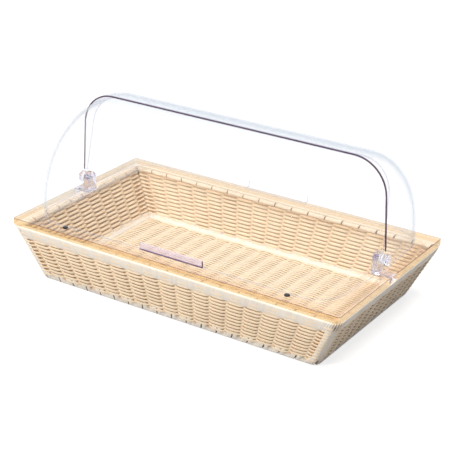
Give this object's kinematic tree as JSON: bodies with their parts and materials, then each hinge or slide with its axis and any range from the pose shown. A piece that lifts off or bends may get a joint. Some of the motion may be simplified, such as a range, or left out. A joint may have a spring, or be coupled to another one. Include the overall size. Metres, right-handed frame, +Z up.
{
  "type": "countertop bread display bin",
  "caption": "Flared woven serving basket with a clear roll-top cover whose front and rear shells turn on posts at the short sides.",
  "frame": {"origin": "Centre of the footprint, on the table under the basket.", "axes": "+X along the basket's length, to the right seen from the front. -Y is the front, where the inner shell and its grip are. +Z is up."},
  "size_m": [0.54, 0.2972, 0.2492],
  "materials": {
    "weave_cream": "woven flat strands",
    "rim_cream": "wrapped strands",
    "border_cream": "wrapped strands",
    "floor_cream": "woven flat strands",
    "stake_cream": "round strands",
    "frame_clear": "clear polycarbonate, polished",
    "post_clear": "clear polycarbonate, polished",
    "pin_clear": "clear polycarbonate, polished",
    "washer_white": "smooth",
    "washer_white_thin": "smooth",
    "bumper_black": "soft, matt",
    "front_clear": "clear polycarbonate, polished",
    "front_grip_lilac": "tinted clear, polished",
    "rear_clear": "clear polycarbonate, polished",
    "rear_grip_lilac": "tinted clear, polished"
  },
  "bodies": {
    "basket": {"woven_wall": "weave_cream", "rim_band": "rim_cream", "base_border": "border_cream", "woven_floor": "floor_cream", "floor_stakes": "stake_cream", "cover_frame": "frame_clear", "hinge_posts": "post_clear", "pivot_pins": "pin_clear", "post_washers": "washer_white", "shell_washers": "washer_white_thin", "bumpers": "bumper_black"},
    "front_cover": {"front_shell": "front_clear", "front_grip": "front_grip_lilac"},
    "rear_cover": {"rear_shell": "rear_clear", "rear_grip": "rear_grip_lilac"}
  },
  "joints": [
    {"name": "front_roll", "type": "hinge", "parent": "basket", "child": "front_cover", "pos_m": [0, 0, 0.1112], "axis": [-1, 0, 0], "range_deg": [0, 85]},
    {"name": "rear_roll", "type": "hinge", "parent": "basket", "child": "rear_cover", "pos_m": [0, 0, 0.1112], "axis": [1, 0, 0], "range_deg": [0, 85]}
  ]
}
